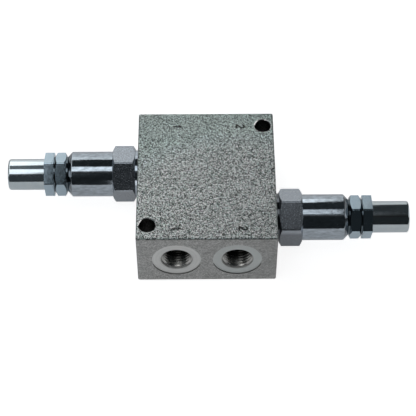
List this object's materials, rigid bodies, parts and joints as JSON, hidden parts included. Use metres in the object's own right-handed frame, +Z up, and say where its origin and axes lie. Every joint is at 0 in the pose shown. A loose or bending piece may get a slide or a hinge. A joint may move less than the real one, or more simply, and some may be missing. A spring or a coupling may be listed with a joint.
{
  "type": "hydraulic cushion valve",
  "caption": "Crossover relief valve block with screw-adjusted relief cartridges on opposite sides, threaded ports front and rear and through mounting holes.",
  "frame": {"origin": "centre of the block's underside", "axes": "+X along the cartridges towards the right one, +Y from the front ports to the rear ports, +Z up"},
  "size_m": [0.1756, 0.07, 0.03],
  "materials": {
    "plated_block": "rough bright zinc plating",
    "plated_body": "bright zinc plating on turned steel",
    "plated_nut": "bluish zinc plating",
    "hardened_steel": "ground and hardened",
    "spring_steel": "oiled spring wire",
    "black_screw": "black oxide",
    "nitrile": "matt nitrile rubber",
    "ptfe": "matt PTFE"
  },
  "bodies": {
    "block": {"manifold_block": "plated_block", "cartridge_body_left": "plated_body", "valve_seat_left": "hardened_steel", "nose_o_ring_left": "nitrile", "nose_backup_ring_left": "ptfe", "flange_o_ring_left": "nitrile", "cartridge_body_right": "plated_body", "valve_seat_right": "hardened_steel", "nose_o_ring_right": "nitrile", "nose_backup_ring_right": "ptfe", "flange_o_ring_right": "nitrile"},
    "poppet_left": {"poppet_left": "hardened_steel", "main_spring_left": "spring_steel"},
    "spring_seat_left": {"spring_seat_left": "hardened_steel", "pad_o_ring_left": "nitrile"},
    "adjusting_screw_left": {"adjusting_screw_left": "black_screw"},
    "lock_nut_left": {"lock_nut_left": "plated_nut"},
    "cap_left": {"cap_left": "plated_nut"},
    "poppet_right": {"poppet_right": "hardened_steel", "main_spring_right": "spring_steel"},
    "spring_seat_right": {"spring_seat_right": "hardened_steel", "pad_o_ring_right": "nitrile"},
    "adjusting_screw_right": {"adjusting_screw_right": "black_screw"},
    "lock_nut_right": {"lock_nut_right": "plated_nut"},
    "cap_right": {"cap_right": "plated_nut"}
  },
  "joints": [
    {"name": "poppet_left_lift", "type": "slide", "parent": "block", "child": "poppet_left", "axis": [-1, 0, 0], "range_m": [0, 0.0015], "stiffness_N_per_m": 82000, "deforming": ["main_spring_left"]},
    {"name": "spring_seat_left_travel", "type": "slide", "parent": "block", "child": "spring_seat_left", "axis": [1, 0, 0], "range_m": [-0.002, 0.003], "deforming": ["main_spring_left"]},
    {"name": "adjusting_screw_left_turn", "type": "hinge", "parent": "spring_seat_left", "child": "adjusting_screw_left", "pos_m": [-0.06, 0.0125, 0.015], "axis": [1, 0, 0], "range_deg": [-720, 1080]},
    {"name": "lock_nut_left_turn", "type": "hinge", "parent": "block", "child": "lock_nut_left", "pos_m": [-0.064, 0.0125, 0.015], "axis": [-1, 0, 0], "range_deg": [0, 360]},
    {"name": "cap_left_removal", "type": "slide", "parent": "block", "child": "cap_left", "axis": [-1, 0, 0], "range_m": [0, 0.022]},
    {"name": "poppet_right_lift", "type": "slide", "parent": "block", "child": "poppet_right", "axis": [1, 0, 0], "range_m": [0, 0.0015], "stiffness_N_per_m": 82000, "deforming": ["main_spring_right"]},
    {"name": "spring_seat_right_travel", "type": "slide", "parent": "block", "child": "spring_seat_right", "axis": [-1, 0, 0], "range_m": [-0.002, 0.003], "deforming": ["main_spring_right"]},
    {"name": "adjusting_screw_right_turn", "type": "hinge", "parent": "spring_seat_right", "child": "adjusting_screw_right", "pos_m": [0.06, -0.0125, 0.015], "axis": [-1, 0, 0], "range_deg": [-720, 1080]},
    {"name": "lock_nut_right_turn", "type": "hinge", "parent": "block", "child": "lock_nut_right", "pos_m": [0.064, -0.0125, 0.015], "axis": [1, 0, 0], "range_deg": [0, 360]},
    {"name": "cap_right_removal", "type": "slide", "parent": "block", "child": "cap_right", "axis": [1, 0, 0], "range_m": [0, 0.022]}
  ],
  "couplings": [
    {"joint": "spring_seat_left_travel", "follows": "adjusting_screw_left_turn", "m_per_rad": 0.00015915},
    {"joint": "spring_seat_right_travel", "follows": "adjusting_screw_right_turn", "m_per_rad": 0.00015915}
  ]
}
